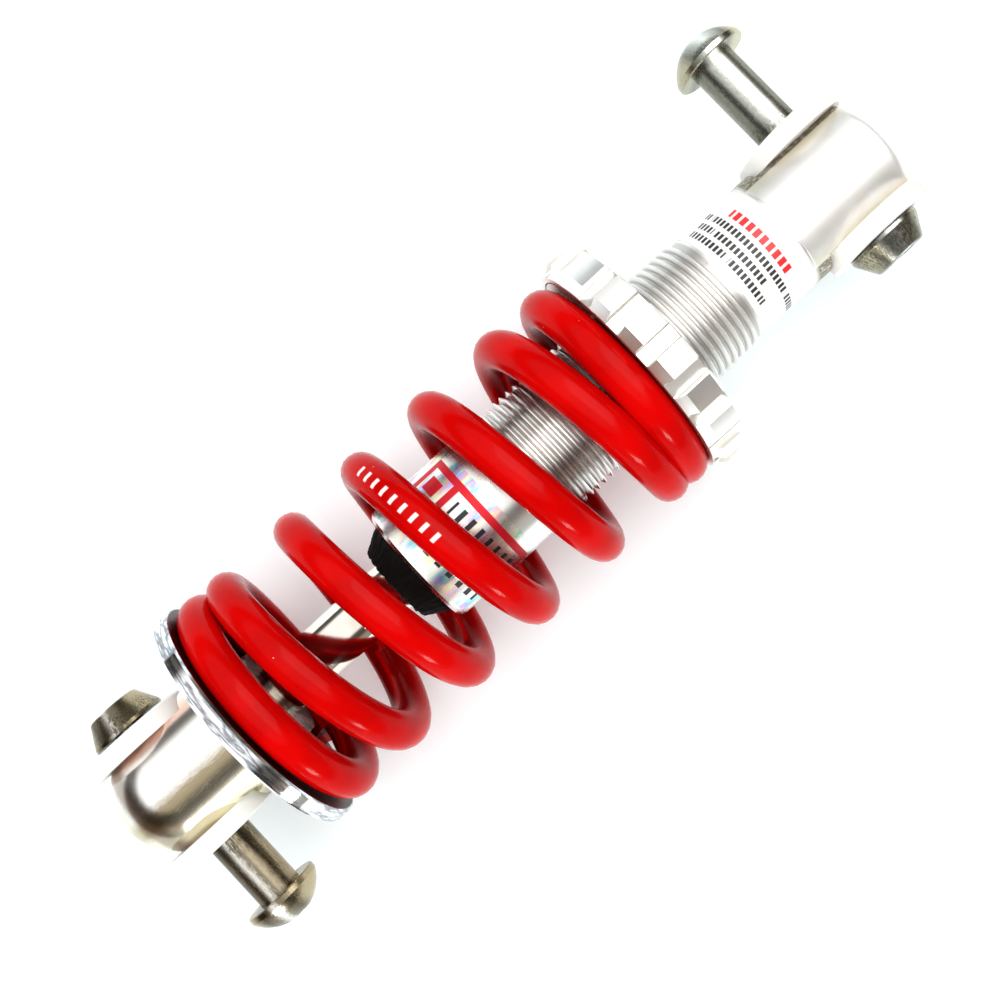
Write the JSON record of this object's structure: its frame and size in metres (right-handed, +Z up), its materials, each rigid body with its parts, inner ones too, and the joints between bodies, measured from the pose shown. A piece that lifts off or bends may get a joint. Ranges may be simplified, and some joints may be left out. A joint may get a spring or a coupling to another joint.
{
  "type": "rear shock",
  "caption": "Coil-over rear shock for a bicycle: red coil spring round a threaded damper with a lobed preload nut, and an eye with white flanged bushes and a domed sleeve bolt at each end.",
  "frame": {"origin": "centre of the lower pivot", "axes": "+X along the shock from the lower pivot to the upper pivot, +Y along the lower pivot bolt, +Z up with the shock lying on its side"},
  "size_m": [0.1724, 0.0642, 0.0458],
  "materials": {
    "nickel": "satin nickel plate",
    "chrome": "bright chrome",
    "zinc": "bright zinc",
    "rod_chrome": "hard chrome",
    "piston_alloy": "machined",
    "band": "filled nylon",
    "shim_steel": "ground steel",
    "body_alloy": "turned aluminium",
    "gland_alloy": "machined",
    "bush_bronze": "bronze",
    "seal_rubber": "nitrile rubber",
    "stop_rubber": "rough black rubber",
    "label_white": "gloss paper label",
    "label_foil": "rainbow foil",
    "spring_red": "gloss powder coat",
    "nut_alloy": "bright machined aluminium",
    "nylon": "moulded nylon",
    "bolt_steel": "zinc-plated steel"
  },
  "bodies": {
    "damper": {"damper_body": "body_alloy", "gland": "gland_alloy", "gland_bush": "bush_bronze", "rod_seal": "seal_rubber", "dust_wiper": "seal_rubber", "gland_o_ring": "seal_rubber", "circlip": "shim_steel", "rebound_bumper": "seal_rubber", "bump_stop": "stop_rubber", "upper_label": "label_white", "foil_label": "label_foil", "coil_spring": "spring_red"},
    "sliding_band": {"piston_band": "band"},
    "rod": {"piston_rod": "rod_chrome", "lower_eye": "nickel", "spring_seat": "chrome", "rod_locknut": "zinc", "piston": "piston_alloy", "piston_shims": "shim_steel", "piston_nut": "zinc"},
    "washer": {"preload_washer": "shim_steel"},
    "nut": {"preload_nut": "nut_alloy"},
    "lower_bushes": {"lower_bush_left": "nylon", "lower_bush_right": "nylon", "lower_spacer": "shim_steel"},
    "lower_bolt": {"lower_sleeve_bolt": "bolt_steel", "lower_cone_screw": "bolt_steel"},
    "upper_bushes": {"upper_bush_left": "nylon", "upper_bush_right": "nylon", "upper_spacer": "shim_steel"},
    "upper_bolt": {"upper_sleeve_bolt": "bolt_steel", "upper_cone_screw": "bolt_steel"}
  },
  "joints": [
    {"name": "compression", "type": "slide", "parent": "damper", "child": "sliding_band", "axis": [1, 0, 0], "range_m": [0, 0.026], "stiffness_N_per_m": 113800, "deforming": ["coil_spring"]},
    {"name": "rod_turn", "type": "hinge", "parent": "sliding_band", "child": "rod", "pos_m": [0, 0, 0], "axis": [1, 0, 0], "continuous": true},
    {"name": "preload_travel", "type": "slide", "parent": "damper", "child": "washer", "axis": [1, 0, 0], "range_m": [0, 0.01201]},
    {"name": "preload_turn", "type": "hinge", "parent": "washer", "child": "nut", "pos_m": [0.105, 0, 0], "axis": [1, 0, 0], "range_deg": [0, 2880]},
    {"name": "lower_pivot", "type": "hinge", "parent": "rod", "child": "lower_bushes", "pos_m": [0, 0, 0], "axis": [0, 1, 0], "continuous": true},
    {"name": "lower_bolt_slide", "type": "slide", "parent": "lower_bushes", "child": "lower_bolt", "axis": [0, 1, 0], "range_m": [-0.0003, 0.0125]},
    {"name": "upper_pivot", "type": "hinge", "parent": "damper", "child": "upper_bushes", "pos_m": [0.15, 0, 0], "axis": [0, 0.9945, -0.1045], "continuous": true},
    {"name": "upper_bolt_slide", "type": "slide", "parent": "upper_bushes", "child": "upper_bolt", "axis": [0, 0.9945, -0.1045], "range_m": [-0.0169, 0.0002]}
  ],
  "couplings": [
    {"joint": "preload_travel", "follows": "preload_turn", "m_per_rad": 0.00023873}
  ]
}
